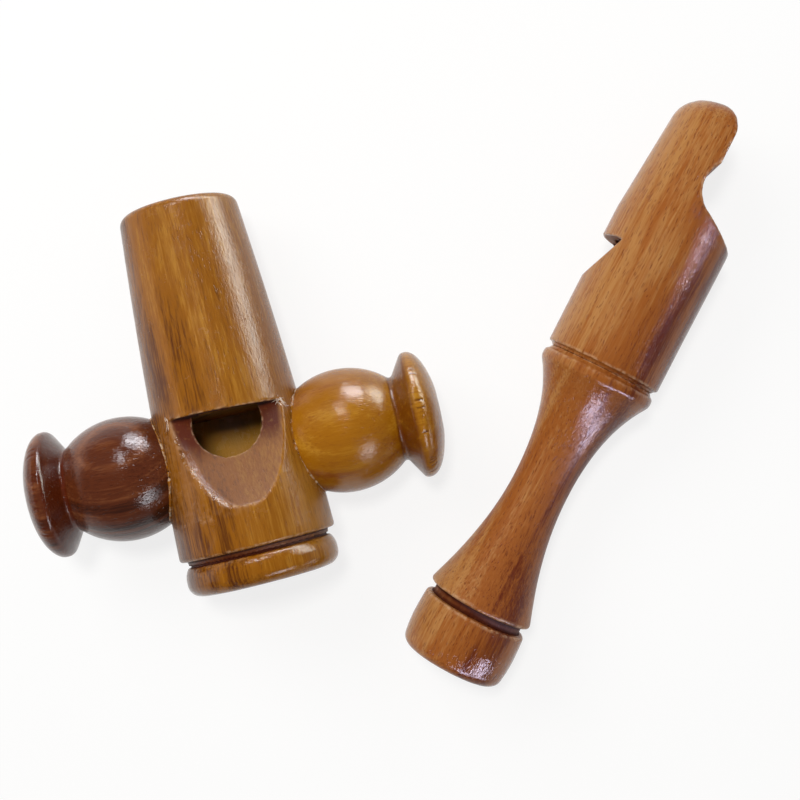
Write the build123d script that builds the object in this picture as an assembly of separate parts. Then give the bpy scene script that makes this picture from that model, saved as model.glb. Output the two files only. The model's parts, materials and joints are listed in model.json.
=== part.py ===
from build123d import *

import os
from math import asin, atan, cos, degrees, radians, sin, sqrt

# Two turned wooden bird calls that lie side by side on a table.
# The arm call is a tapered whistle with a hollow arm on each side, whose open ends the fingers cover.
# The slide call is a beaked whistle with a grip that draws out of the barrel and lowers the note.
# Each call is made upright in its own frame, foot on the origin and window facing -Y, then laid down.
# Lengths are millimetres and angles are degrees.

# Fits
glue_gap = 0.05  # around a piece that is glued in
cope_gap = 0.1  # between an arm and the body that it is shaped to
slide_gap = 0.06  # packing in the barrel's bore
stopper_gap = 0.3  # bare stopper in the barrel's bore
windway_gap = 1.2  # height of the slit that leads the breath to the window

# Arm call: body
body_height = 82.8
mouth_dia = 25.6
mouth_round = 2.0
shoulder_dia = 34.0  # body just above the groove
shoulder_round = 0.7
round_share = 0.9  # most of the groove's wall that a rounding takes
flank_bulge = 0.6  # swell of the flank over a straight taper
groove_width = 1.4
groove_depth = 1.2  # below the smaller of the foot and the shoulder
foot_dia = 33.0
foot_height = 6.4
foot_round = 2.8
tube_wall = 2.9
plug_height = 8.0

# Arm call: window, a saw cut with a ramp below it
window_height = 36.9
window_depth = 5.4
window_skew = 2.4  # the saw cut slopes, down to the right
window_turn = 5.5  # the window faces a little to the right
window_hole_dia = 14.4  # bored through the wall below the saw cut
window_hole_drop = 2.6  # hole's middle below the saw cut
ramp_length = 20.2
ramp_hollow = 0.6  # dip of the ramp below a straight slope
ramp_step = 0.4  # small face where the ramp ends

# Arm call: side arms, measured out from the body's axis
arm_height = 27.7
arm_skew = 1.4  # the arms slope a little, down to the right
spigot_dia = 14.0
arm_bore_dia = 9.0
ball_dia = 26.8
ball_round = 16.6  # radius of the ball's outline along the arm
ball_reach = 24.3
neck_dia = 18.2
neck_width = 0.7
flange_dia = 27.5
flange_bevel = 2.9
flange_rim = 1.0
flange_dome = 5.2
rim_round = 1.4

# Slide call: grip
grip_height = 71.6
grip_foot_dia = 24.0
grip_foot_height = 12.6
grip_foot_bulge = 0.35
grip_foot_round = 1.9
grip_groove_width = 2.0
grip_groove_depth = 1.8
grip_groove_round = 0.65
flare_dia = 24.1
flare_slope = 0.35  # change of radius along the axis
waist_dia = 12.5
waist_height = 43.8
collar_dia = 25.5
collar_height = 2.2
collar_edge = 0.9  # rounding next to the seam
collar_round = 1.8
collar_slope = 0.7
seam_width = 1.4
seam_depth = 0.95

# Slide call: stopper on the grip
slide_travel = 9.0
stopper_hold = 7.0  # length that stays in the barrel when drawn out
packing_height = 4.0
packing_depth = 1.3
packing_set = 1.5  # below the stopper's end

# Slide call: barrel, heights above the seam
barrel_length = 60.6
barrel_dia = 25.7
beak_height = 32.7  # where the beak begins to taper
beak_dia = 21.4
tip_round = 6.1
chamber_dia = 20.0
slot_height = 25.9
slot_depth = 3.85
slot_ramp = 9.6
beak_back = 1.8  # beak's flat back, beyond the axis
scoop_height = 44.0
scoop_round = 6.4
scoop_floor = 0.3  # scoop's deepest point, beyond the axis
scoop_slope = 62.0  # scoop's lower wall, from the axis
dowel_dia = 9.2
dowel_set = 4.9  # dowel's axis, towards the window

# Places on the table
arm_call_spot = (-28.54, -37.77)
arm_call_turn = 13.8
slide_call_spot = (10.5, -56.5)
slide_call_turn = -27.32
slide_call_roll = -90.0

# Sizes that follow from the ones above
shoulder_height = foot_height + groove_width
beyond = body_height + barrel_length
barrel_top = grip_height + barrel_length
slot_level = grip_height + slot_height


def flank_share(height):
    """Part of the way from the arm call's shoulder to its mouth."""
    return (height - shoulder_height) / (body_height - shoulder_height)


def taper_radius(height):
    """Radius of a straight taper from the arm call's shoulder to its mouth."""
    return (shoulder_dia + (mouth_dia - shoulder_dia) * flank_share(height)) / 2


def body_radius(height):
    """Outside radius of the arm call's swelling body."""
    share = flank_share(height)
    return taper_radius(height) + 4 * flank_bulge * share * (1 - share)


def tube_radius(height):
    """Inside radius of the arm call's mouth tube, a straight taper."""
    return taper_radius(height) - tube_wall


def barrel_radius(height):
    """Outside radius of the slide call's barrel."""
    share = (height - grip_height - beak_height) / (barrel_length - beak_height)
    return (barrel_dia + (beak_dia - barrel_dia) * max(0, share)) / 2


def outline(*edges):
    """Closed flat face from its edges."""
    return make_face(Curve() + list(edges))


def rounded(face, corner, radius):
    """Face with the corner at this point rounded."""
    return fillet(face.vertices().sort_by_distance(Vector(*corner))[0], radius)


def turned(face):
    """Solid turned about the upright axis from a face of radius and height."""
    return revolve(Plane.XZ * face, Axis.Z)


def sawn(face):
    """Cutter that runs across the call from a face of depth and height."""
    return extrude(Plane.YZ * face, beyond, both=True)


def rod(diameter, low, high):
    """Upright cylinder."""
    upright = (Align.CENTER, Align.CENTER, Align.MIN)
    return Pos(0, 0, low) * Cylinder(diameter / 2, high - low, align=upright)


def flank(grow):
    """Outline of the arm call's flank from shoulder to mouth, grown by a gap."""
    middle = (shoulder_height + body_height) / 2
    low = (shoulder_dia / 2 + grow, shoulder_height)
    high = (mouth_dia / 2 + grow, body_height)
    return ThreePointArc(low, (body_radius(middle) + grow, middle), high)


def body_form():
    """Arm call's body before it is bored and cut."""
    shoulder = (shoulder_dia / 2, shoulder_height)
    mouth = (mouth_dia / 2, body_height)
    foot = (foot_dia / 2, 0)
    foot_top = (foot_dia / 2, foot_height)
    floor_radius = min(foot_dia, shoulder_dia) / 2 - groove_depth
    groove_wall = shoulder_dia / 2 - floor_radius
    face = outline(
        Polyline((0, body_height), (0, 0), foot, foot_top, (floor_radius, foot_height)),
        Polyline((floor_radius, foot_height), (floor_radius, shoulder_height), shoulder),
        flank(0),
        Line(mouth, (0, body_height)),
    )
    face = rounded(face, foot, foot_round)
    face = rounded(face, foot_top, shoulder_round / 2)
    face = rounded(face, shoulder, min(shoulder_round, round_share * groove_wall))
    face = rounded(face, mouth, mouth_round)
    return turned(face)


def body_swell(grow):
    """Arm call's swelling outside, grown by a gap."""
    low = (shoulder_dia / 2 + grow, shoulder_height)
    high = (mouth_dia / 2 + grow, body_height)
    core = Polyline(high, (0, body_height), (0, shoulder_height), low)
    return turned(outline(flank(grow), core))


def window_hole():
    """Hole through the wall, cut off at the saw cut."""
    middle = Pos(0, 0, window_height - window_hole_drop)
    bored = middle * Rot(90, 0, 0) * rod(window_hole_dia, 0, shoulder_dia)
    return bored & rod(2 * beyond, 0, window_height)


def window_cut():
    """Saw cut, hole and hollow ramp of the arm call's window, a little out of square."""
    floor = body_radius(window_height) - window_depth
    end_height = window_height - ramp_length
    end_floor = body_radius(end_height) - ramp_step
    dip = (ramp_hollow - (floor + end_floor) / 2, (window_height + end_height) / 2)
    top = (-floor, window_height)
    end = (-end_floor, end_height)
    outside = [(-shoulder_dia, end_height), (-shoulder_dia, window_height)]
    cut = sawn(outline(ThreePointArc(top, dip, end), Polyline(end, *outside, top))) + window_hole()
    skew = Pos(0, 0, window_height) * Rot(0, window_skew, 0) * Pos(0, 0, -window_height)
    return Rot(0, 0, window_turn) * skew * cut


def mouth_plug(shrink, windway):
    """Tapered plug that fills the mouth tube, flattened in front by the windway's height."""
    low = tube_radius(window_height) - shrink
    high = tube_radius(body_height) - shrink
    span = [(0, window_height), (low, window_height), (high, body_height), (0, body_height)]
    plug = turned(outline(Polyline(*span, close=True)))
    if not windway:
        return plug
    flat = [(-low - shrink + windway, window_height), (-high - shrink + windway, body_height)]
    away = [(-beyond, body_height), (-beyond, window_height)]
    return plug - sawn(outline(Polyline(*flat, *away, close=True)))


def arm_call_body():
    """Body with foot, chamber, mouth tube, window and the two arm sockets."""
    chamber = rod(2 * tube_radius(window_height), 0, window_height)
    sockets = Pos(0, 0, arm_height) * Rot(0, arm_skew + 90, 0) * rod(spigot_dia, -shoulder_dia, shoulder_dia)
    return body_form() - chamber - mouth_plug(0, 0) - window_cut() - sockets


def arm_call_block():
    """Tapered block of the mouth tube with the windway's flat."""
    return mouth_plug(glue_gap, windway_gap)


def arm_call_plug():
    """Disc that closes the chamber from below."""
    return rod(2 * (tube_radius(window_height) - glue_gap), 0, plug_height)


def ball_edge(radius):
    """Distance from the ball's middle to where its outline has this radius."""
    return sqrt(ball_round**2 - (radius - ball_dia / 2 + ball_round) ** 2)


def arm_knob():
    """Ball, neck and flange of an arm, turned on an upright axis."""
    start = spigot_dia / 2 - glue_gap
    neck = neck_dia / 2
    rim = flange_dia / 2
    neck_start = ball_reach + ball_edge(neck)
    neck_end = neck_start + neck_width
    rim_low = neck_end + flange_bevel
    rim_high = rim_low + flange_rim
    ball_start = ball_reach - ball_edge(start)
    face = outline(
        Polyline((0, rim_high + flange_dome), (0, ball_start), (start, ball_start)),
        ThreePointArc((start, ball_start), (ball_dia / 2, ball_reach), (neck, neck_start)),
        Polyline((neck, neck_start), (neck, neck_end), (rim, rim_low), (rim, rim_high)),
        EllipticalCenterArc((0, rim_high), rim, flange_dome, arc_size=90),
    )
    return turned(rounded(face, (rim, rim_low), rim_round))


def side_arm(side):
    """Hollow arm, shaped to the body, with a spigot in the body's socket."""
    place = Pos(0, 0, arm_height) * Rot(0, arm_skew + 90 * side, 0)
    knob = place * arm_knob() - body_swell(cope_gap)
    spigot = place * rod(spigot_dia - 2 * glue_gap, tube_radius(window_height), ball_reach)
    bore = place * rod(arm_bore_dia, 0, beyond)
    return knob + spigot - bore


def barrel_form():
    """Slide call's barrel before it is bored and cut."""
    edge = grip_height + seam_width / 2
    low = barrel_dia / 2
    tip = (beak_dia / 2, barrel_top)
    face = outline(
        Polyline(
            (0, grip_height),
            (low - seam_depth, grip_height),
            (low - seam_depth, edge),
            (low, edge),
            (low, grip_height + beak_height),
            tip,
            (0, barrel_top),
            close=True,
        )
    )
    face = rounded(face, (low, edge), seam_width / 4)
    face = rounded(face, tip, tip_round)
    return turned(face)


def scoop_cut():
    """Cutter for the beak's flat back, its rounded tip and the scoop below it."""
    middle_y = scoop_floor + scoop_round
    middle_z = grip_height + scoop_height
    meet = middle_z + sqrt(scoop_round**2 - (middle_y - beak_back) ** 2)
    lean = radians(scoop_slope)
    foot_y = middle_y - scoop_round * cos(lean)
    foot_z = middle_z - scoop_round * sin(lean)
    out = barrel_dia
    out_z = foot_z - (out - foot_y) * cos(lean) / sin(lean)
    bend = tip_round * (1 - sqrt(0.5))
    shoulder = barrel_top - tip_round
    return sawn(
        outline(
            ThreePointArc(
                (beak_back - tip_round, barrel_top),
                (beak_back - bend, barrel_top - bend),
                (beak_back, shoulder),
            ),
            Line((beak_back, shoulder), (beak_back, meet)),
            ThreePointArc((beak_back, meet), (scoop_floor, middle_z), (foot_y, foot_z)),
            Polyline(
                (foot_y, foot_z),
                (out, out_z),
                (out, barrel_top + tip_round),
                (beak_back - tip_round, barrel_top + tip_round),
                (beak_back - tip_round, barrel_top),
            ),
        )
    )


def slot_cut():
    """Saw cut and ramp of the slide call's window."""
    floor = barrel_radius(slot_level) - slot_depth
    end = barrel_radius(slot_level - slot_ramp)
    slope = (end - floor) / slot_ramp
    drop = (barrel_dia - floor) / slope
    corners = [(-floor, slot_level), (-barrel_dia, slot_level), (-barrel_dia, slot_level - drop)]
    return sawn(outline(Polyline(*corners, close=True)))


def dowel(diameter):
    """Rod along the beak from the window to beyond the tip."""
    return Pos(0, -dowel_set, 0) * rod(diameter, slot_level, barrel_top + tip_round)


def slide_call_barrel():
    """Barrel with beak, scoop, window, chamber and the windway's hole."""
    chamber = rod(chamber_dia, 0, slot_level)
    return barrel_form() - chamber - dowel(dowel_dia) - slot_cut() - scoop_cut()


def slide_call_block():
    """Dowel in the beak, flattened in front by the windway's height and flush with the tip."""
    flat = -dowel_set - dowel_dia / 2 + windway_gap
    front = sawn(
        outline(
            Polyline((flat, 0), (-beyond, 0), (-beyond, 2 * barrel_top), (flat, 2 * barrel_top), close=True)
        )
    )
    return (dowel(dowel_dia - 2 * glue_gap) & barrel_form()) - front - scoop_cut()


def grip_waist():
    """Outline of the grip from the flare over the waist to the collar."""
    flare = (flare_dia / 2, grip_foot_height + grip_groove_width)
    waist = (waist_dia / 2, waist_height)
    collar = (collar_dia / 2, grip_height - seam_width / 2 - collar_height)
    bends = [(-flare_slope, 1), (0, 1), (collar_slope, 1)]
    return Spline(flare, waist, collar, tangents=bends)


def slide_grip():
    """Grip with foot, groove, flare, waist and collar, and the stopper that enters the barrel."""
    foot = grip_foot_dia / 2
    foot_edge = foot - grip_foot_bulge
    groove = flare_dia / 2 - grip_groove_depth
    groove_top = grip_foot_height + grip_groove_width
    collar = collar_dia / 2
    collar_top = grip_height - seam_width / 2
    collar_low = collar_top - collar_height
    neck = collar - seam_depth
    stopper = chamber_dia / 2 - stopper_gap
    face = outline(
        Polyline((0, grip_height), (0, 0), (foot_edge, 0)),
        ThreePointArc((foot_edge, 0), (foot, grip_foot_height / 2), (foot_edge, grip_foot_height)),
        Polyline((foot_edge, grip_foot_height), (groove, grip_foot_height), (groove, groove_top)),
        Line((groove, groove_top), (flare_dia / 2, groove_top)),
        grip_waist(),
        Polyline((collar, collar_low), (collar, collar_top), (neck, collar_top), (neck, grip_height)),
        Line((neck, grip_height), (0, grip_height)),
    )
    face = rounded(face, (foot_edge, 0), grip_foot_round)
    face = rounded(face, (foot_edge, grip_foot_height), grip_groove_round)
    face = rounded(face, (flare_dia / 2, groove_top), grip_groove_round)
    face = rounded(face, (collar, collar_top), collar_edge)
    face = rounded(face, (collar, collar_low), collar_round)
    top = grip_height + slide_travel + stopper_hold
    seat_top = top - packing_set
    seat = rod(2 * stopper, seat_top - packing_height, seat_top)
    core = rod(2 * (stopper - packing_depth), seat_top - packing_height, seat_top)
    return turned(face) + rod(2 * stopper, grip_height, top) - (seat - core)


def stopper_packing():
    """Ring on the stopper that seals the barrel's bore."""
    top = grip_height + slide_travel + stopper_hold - packing_set
    low = top - packing_height
    inner = chamber_dia - 2 * (stopper_gap + packing_depth - glue_gap)
    return rod(chamber_dia - 2 * slide_gap, low, top) - rod(inner, low, top)


def laid(pieces, pose):
    """Pieces of a call moved into a lying pose and set down on the table."""
    lying = {name: pose * piece for name, piece in pieces.items()}
    lowest = min(piece.bounding_box().min.Z for piece in lying.values())
    drop = Pos(0, 0, -lowest)
    return {name: drop * piece for name, piece in lying.items()}, drop * pose


def arm_call_pose():
    """The arm call lies on its back below the arms, rolled until the right flange touches."""
    flank_length = body_height - shoulder_height
    swell_slope = 4 * flank_bulge * (1 - 2 * flank_share(arm_height)) / flank_length
    lean = degrees(atan((shoulder_dia - mouth_dia) / 2 / flank_length - swell_slope))
    clear = max(0, body_radius(arm_height) - flange_dia / 2)
    rim_reach = ball_reach + ball_edge(neck_dia / 2) + neck_width + flange_bevel + flange_rim
    roll = degrees(asin(clear / rim_reach))
    return Pos(*arm_call_spot) * Rot(0, 0, arm_call_turn) * Rot(-90 - lean, 0, 0) * Rot(0, 0, roll)


def slide_call_pose():
    """The slide call lies on its barrel and foot with the window to one side."""
    drop = (barrel_dia - grip_foot_dia) / 2
    lean = degrees(asin(drop / (grip_height - grip_foot_height / 2)))
    turn = Rot(0, 0, slide_call_turn)
    return Pos(*slide_call_spot) * turn * Rot(-90 + lean, 0, 0) * Rot(0, 0, slide_call_roll)


arm_call = {
    "arm_call_body": arm_call_body(),
    "arm_call_block": arm_call_block(),
    "arm_call_plug": arm_call_plug(),
    "left_arm": side_arm(-1),
    "right_arm": side_arm(1),
}
slide_call = {
    "slide_call_barrel": slide_call_barrel(),
    "slide_call_block": slide_call_block(),
    "slide_grip": slide_grip(),
    "stopper_packing": stopper_packing(),
}

# Both calls are laid down, and the origin is the middle of the pair on the table
arm_call_laid, arm_call_place = laid(arm_call, arm_call_pose())
slide_call_laid, slide_call_place = laid(slide_call, slide_call_pose())
pair = arm_call_laid | slide_call_laid
boxes = [piece.bounding_box() for piece in pair.values()]
middle_x = (min(box.min.X for box in boxes) + max(box.max.X for box in boxes)) / 2
middle_y = (min(box.min.Y for box in boxes) + max(box.max.Y for box in boxes)) / 2
centre = Pos(-middle_x, -middle_y, 0)

os.makedirs("parts", exist_ok=True)
for name, piece in pair.items():
    export_step(centre * piece, os.path.join("parts", name + ".step"))
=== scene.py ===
"""Dresses a pair of turned wooden bird calls with worn wood, glue lines, light and a camera."""

import json
import math
from typing import NamedTuple

import bpy
import numpy as np
from mathutils import Matrix, Vector
from mathutils.bvhtree import BVHTree

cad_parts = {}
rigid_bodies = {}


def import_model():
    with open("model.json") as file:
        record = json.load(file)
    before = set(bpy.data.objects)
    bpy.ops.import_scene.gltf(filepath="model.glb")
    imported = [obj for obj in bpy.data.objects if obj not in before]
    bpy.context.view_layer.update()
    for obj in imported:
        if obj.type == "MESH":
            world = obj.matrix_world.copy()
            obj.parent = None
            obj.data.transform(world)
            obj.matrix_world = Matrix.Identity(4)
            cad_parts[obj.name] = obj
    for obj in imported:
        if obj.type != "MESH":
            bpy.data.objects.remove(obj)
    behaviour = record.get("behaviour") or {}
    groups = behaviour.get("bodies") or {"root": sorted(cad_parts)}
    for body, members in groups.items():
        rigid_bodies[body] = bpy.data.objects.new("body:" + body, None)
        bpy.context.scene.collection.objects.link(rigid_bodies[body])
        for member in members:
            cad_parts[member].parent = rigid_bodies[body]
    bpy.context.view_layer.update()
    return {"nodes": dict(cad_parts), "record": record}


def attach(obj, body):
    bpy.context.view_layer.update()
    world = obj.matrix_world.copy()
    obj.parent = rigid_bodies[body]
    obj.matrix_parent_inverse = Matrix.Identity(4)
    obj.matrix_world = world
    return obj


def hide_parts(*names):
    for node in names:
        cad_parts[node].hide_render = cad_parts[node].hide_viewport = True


bl_info = {
    "name": "Bird call looks",
    "version": (1, 0, 0),
    "blender": (4, 5, 0),
    "location": "View3D > Sidebar > Bird calls",
    "description": "Dresses a pair of turned wooden bird calls",
    "category": "Object",
}

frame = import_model()
mounts = {mount["name"]: mount for mount in frame["record"]["mounts"]}

MM = 0.001
UP = Vector((0, 0, 1))


# Frames of the calls and the arms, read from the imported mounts


def own_frame(origin, along, side):
    """Matrix of a frame at origin with +Z along the grain and +X near the side direction."""
    z = Vector(along).normalized()
    x = (Vector(side) - Vector(side).project(z)).normalized()
    turn = Matrix((x, z.cross(x), z)).transposed().to_4x4()
    return Matrix.Translation(origin) @ turn


def call_frame(foot, side):
    """Upright frame of a call, foot at the origin."""
    return own_frame(mounts[foot]["pos_m"], -Vector(mounts[foot]["axis"]), side)


def arm_frame(bore):
    """Frame of an arm, +Z outwards from the middle of its bore."""
    return own_frame(mounts[bore]["pos_m"], mounts[bore]["axis"], UP)


ARM_CALL = call_frame("arm_call_foot", mounts["right_arm_bore"]["axis"])
SLIDE_CALL = call_frame("slide_call_foot", UP)
LEFT_ARM = arm_frame("left_arm_bore")
RIGHT_ARM = arm_frame("right_arm_bore")


# Places on the calls, in millimetres in the call's own frame

FOOT_TOP = 6.4  # arm call's foot, below its groove
FOOT_RADIUS = 16.5
GROOVE_TOP = 7.8
GROOVE_RADIUS = 15.3  # the groove's floor
CHAMBER_RADIUS = 12.5
OUTER_RADIUS = 13.5  # what lies beyond it, low on the arm call, isn't the chamber's wall
WINDOW_LOW = 15.0  # just below the arm call's ramp
WINDOW_HIGH = 38.0  # just above its saw cut
TORN_CORNERS = (((12.6, -9.7, 36.3), 18), ((-11.0, -11.5, 37.3), 7))  # place and number of fibres
# The edge fibres are pale slivers that paint the ramp edge's highlight
EDGE_FIBRES = 45  # along the ramp's left edge
BARREL_LOW = 73.0  # just above the slide call's seam
TAPER_HEIGHT = 7.0  # of the worn part of the grip's foot

# Wear of the shapes, in millimetres or as a share

FOOT_WEAR = 0.9  # rounding of the arm call's foot
FOOT_TAPER = 0.035  # share of the radius that the grip's foot loses
CHECKS = 26  # short cracks in a flange's rim
CHECK_WIDTH = 0.17
CHECK_DEPTH = 0.1


# Settings that a user would change


def colour(red, green, blue):
    """Scene-linear colour from screen values of 0 to 255."""
    shares = [value / 255 for value in (red, green, blue)]
    return tuple(s / 12.92 if s <= 0.04045 else ((s + 0.055) / 1.055) ** 2.4 for s in shares)


def colour_setting(label, what, screen):
    return bpy.props.FloatVectorProperty(
        name=label, description=what, subtype="COLOR", size=3, min=0, max=1, default=colour(*screen)
    )


def length_setting(label, what, millimetres):
    return bpy.props.FloatProperty(
        name=label,
        description=what,
        subtype="DISTANCE",
        unit="LENGTH",
        default=millimetres * MM,
        min=0,
        precision=5,
    )


class WoodColours(bpy.types.PropertyGroup):
    honey_light: colour_setting("Honey light", "Pale bands of the arm call's body", (176, 120, 38))
    honey_mid: colour_setting("Honey", "Main tone of the arm call's body", (147, 89, 12))
    honey_dark: colour_setting("Honey dark", "Growth lines of the arm call's body", (88, 44, 8))
    golden_light: colour_setting("Golden light", "Pale bands of the right arm", (186, 130, 36))
    golden_mid: colour_setting("Golden", "Main tone of the right arm", (161, 101, 12))
    golden_dark: colour_setting("Golden dark", "Growth lines of the right arm", (134, 70, 10))
    dark_light: colour_setting("Dark light", "Pale bands of the left arm", (128, 74, 42))
    dark_mid: colour_setting("Dark", "Main tone of the left arm", (90, 42, 20))
    dark_dark: colour_setting("Dark dark", "Growth lines of the left arm", (52, 22, 10))
    red_light: colour_setting("Red light", "Pale bands of the slide call", (180, 127, 73))
    red_mid: colour_setting("Red", "Main tone of the slide call", (154, 88, 37))
    red_dark: colour_setting("Red dark", "Pores and lines of the slide call", (100, 38, 16))
    sawn: colour_setting("Sawn faces", "Sawn wood under the varnish", (112, 58, 18))
    # Bare wood, made paler as painted light: stands in for the light that falls through the window into
    # the chamber
    raw: colour_setting("Raw inside", "Bare wood inside the chamber", (196, 146, 66))
    # Worn edges, and the painted highlight along the ramp's edges
    rubbed_and_highlit: colour_setting("Rubbed edges", "Worn edges of the wood", (212, 172, 134))
    # Painted shade with pooled varnish: darkens deep corners, the window's flanks, the foot's groove and
    # broad hollows such as a flange's inner side
    shade: colour_setting("Deep corners", "Varnish that gathered in corners", (86, 27, 4))
    # Dark varnish and painted shade: this colour darkens every crease and groove that the hollow mask
    # finds
    grime_and_shade: colour_setting("Grooves", "Dark varnish in the turned grooves", (58, 18, 8))
    cork_light: colour_setting("Cork light", "Pale granules of the packing", (196, 150, 100))
    cork_dark: colour_setting("Cork dark", "Dark granules of the packing", (96, 58, 34))
    glue: colour_setting("Glue", "Dried glue at the joints", (214, 196, 168))
    # Torn fibres, and a painted highlight: the pale slivers along the ramp's left edge
    fibre: colour_setting("Torn fibre", "Torn wood at the window", (232, 214, 198))


class WearSizes(bpy.types.PropertyGroup):
    mesh_pitch: length_setting("Mesh pitch", "Spacing of the worn meshes' points", 0.3)
    unevenness: length_setting("Unevenness", "How far a turned surface wanders from true", 0.05)
    chip_depth: length_setting("Chip depth", "Depth of the nicks along the sawn edges", 0.35)
    bead_radius: length_setting("Glue bead", "Radius of the glue line around an arm", 0.34)
    fibre_length: length_setting("Torn fibre", "Length of the torn fibres at the window", 2.6)


class StageSettings(bpy.types.PropertyGroup):
    background: colour_setting("Background", "Floor and backdrop", (255, 255, 255))
    lens: bpy.props.FloatProperty(
        name="Lens", description="Focal length in millimetres", default=60.67, min=1
    )


def settings(group):
    return getattr(bpy.context.scene, group)


# Mesh helpers


def read_points(mesh, field="co"):
    flat = np.empty(len(mesh.vertices) * 3)
    mesh.vertices.foreach_get(field, flat)
    return flat.reshape(-1, 3)


def write_points(mesh, points):
    mesh.vertices.foreach_set("co", points.astype(np.float32).ravel())
    mesh.update()


def write_share(mesh, name, shares):
    """Stores one number for each point, which a material reads by name."""
    mesh.attributes.new(name, "FLOAT", "POINT").data.foreach_set("value", shares.astype(np.float32))


def in_frame(points, matrix):
    """Points in a call's own frame, in millimetres."""
    inverse = np.array(matrix.inverted())
    return (points @ inverse[:3, :3].T + inverse[:3, 3]) / MM


def from_frame(own, matrix):
    """Points of the scene from a call's own frame."""
    turn = np.array(matrix)
    return own * MM @ turn[:3, :3].T + turn[:3, 3]


def girth(own):
    """Distance of each point from its call's axis."""
    return np.hypot(own[:, 0], own[:, 1])


def ramp(values, low, high):
    """0 at low, 1 at high and straight in between."""
    return np.clip((values - low) / (high - low), 0, 1)


def waves(points, pitch, seed):
    """Smooth seeded noise from about -1 to 1 with features about as long as pitch."""
    draw = np.random.default_rng(seed)
    total = np.zeros(len(points))
    count = 14
    for _ in range(count):
        way = draw.normal(size=3)
        way *= draw.uniform(0.6, 1.5) / np.linalg.norm(way)
        total += np.sin(points @ way * (2 * math.pi / pitch) + draw.uniform(0, 2 * math.pi))
    return total * math.sqrt(2 / count) / 2


def neighbour_means(mesh, values, passes):
    """Values averaged over each point's neighbours, several times."""
    ends = np.empty(len(mesh.edges) * 2, np.int32)
    mesh.edges.foreach_get("vertices", ends)
    a, b = ends.reshape(-1, 2).T
    size = len(values)
    count = np.bincount(a, minlength=size) + np.bincount(b, minlength=size)
    for _ in range(passes):
        sums = [
            np.bincount(a, values[b, k], minlength=size) + np.bincount(b, values[a, k], minlength=size)
            for k in range(values.shape[1])
        ]
        values = np.stack(sums, 1) / count[:, None]
    return values


def hollow_shares(mesh, passes, full_depth):
    """1 deep in grooves and corners, -1 on sharp outer edges, 0 on plain surfaces."""
    points = read_points(mesh)
    rise = neighbour_means(mesh, points, passes) - points
    return np.clip((rise * read_points(mesh, "normal")).sum(1) / full_depth, -1, 1)


def linked(name, mesh):
    piece = bpy.data.objects.new(name, mesh)
    bpy.context.scene.collection.objects.link(piece)
    return piece


def finished(piece, body, material):
    """Gives a piece its material, smooth shading and body."""
    piece.data.materials.clear()
    piece.data.materials.append(material)
    piece.data.shade_smooth()
    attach(piece, body)
    return piece


def worn_mesh(node, name, softness, pitch_share=1.0):
    """Even mesh of a solid with its edges softened."""
    draft = linked(name + "_draft", frame["nodes"][node].data.copy())
    weld = draft.modifiers.new("Weld", "WELD")
    weld.merge_threshold = 0.0001 * MM
    even = draft.modifiers.new("Even", "REMESH")
    even.mode = "VOXEL"
    even.voxel_size = settings("call_wear").mesh_pitch * pitch_share
    soft = draft.modifiers.new("Soft", "SMOOTH")
    soft.factor = 0.5
    soft.iterations = softness
    bpy.context.view_layer.update()
    mesh = bpy.data.meshes.new_from_object(draft.evaluated_get(bpy.context.evaluated_depsgraph_get()))
    bpy.data.objects.remove(draft)
    mesh.name = name
    return mesh


def depth_below(own, sound):
    """How far each point lies inside the turned outline, read from the points that are sound."""
    radius = girth(own)
    pitch = 0.5
    edges = np.arange(own[:, 2].min() - pitch, own[:, 2].max() + 2 * pitch, pitch)
    level = np.digitize(own[:, 2], edges)
    outline = np.zeros(len(edges) + 1)
    np.maximum.at(outline, level[sound], radius[sound])
    return outline[level] - radius


def wear(mesh, place, seed, chipped, grime_and_shade=1.0):
    """Makes a turned mesh a little uneven and nicks its edges as far as chipped says."""
    sizes = settings("call_wear")
    points = read_points(mesh)
    normals = read_points(mesh, "normal")
    own = in_frame(points, place)
    hollow = hollow_shares(mesh, passes=14, full_depth=0.25 * MM)
    dip = hollow_shares(mesh, passes=90, full_depth=0.7 * MM)
    shift = sizes.unevenness * waves(own, 19, seed) * 0.6
    shift += sizes.unevenness * waves(own * (1, 1, 0.35), 4.5, seed + 1) * 0.16
    edge = np.clip(-hollow - 0.25, 0, 1) * chipped
    nick = np.clip(waves(own, 2.3, seed + 2) + 0.5 * waves(own, 0.9, seed + 3) - 0.15, 0, 1)
    shift -= sizes.chip_depth * edge * nick
    write_points(mesh, points + normals * shift[:, None])
    # Positive hollow darkens creases with dark varnish and painted shade, scaled by the last argument
    write_share(mesh, "hollow", np.where(hollow > 0, hollow * grime_and_shade, hollow))
    # dip marks broad hollows, which later get painted shade
    write_share(mesh, "dip", np.clip(dip, 0, 1))


def tube(path, radii, sides=7):
    """Points and faces of a round tube along a path, closed when the path's ends meet."""
    path = np.asarray(path, float)
    closed = np.allclose(path[0], path[-1])
    path = path[:-1] if closed else path
    count = len(path)
    points, faces = [], []
    for i, (spot, radius) in enumerate(zip(path, radii)):
        after = path[(i + 1) % count] if closed or i + 1 < count else spot
        before = path[i - 1] if closed or i else spot
        way = Vector(after - before).normalized()
        side = way.cross(UP if abs(way.z) < 0.9 else Vector((1, 0, 0))).normalized()
        other = way.cross(side)
        for k in range(sides):
            turn = 2 * math.pi * k / sides
            points.append(Vector(spot) + float(radius) * (math.cos(turn) * side + math.sin(turn) * other))
    for i in range(count if closed else count - 1):
        here, there = i * sides, (i + 1) % count * sides
        for k in range(sides):
            nxt = (k + 1) % sides
            faces.append((here + k, here + nxt, there + nxt, there + k))
    if not closed:
        faces.append(tuple(reversed(range(sides))))
        faces.append(tuple(range((count - 1) * sides, count * sides)))
    return points, faces


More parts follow.
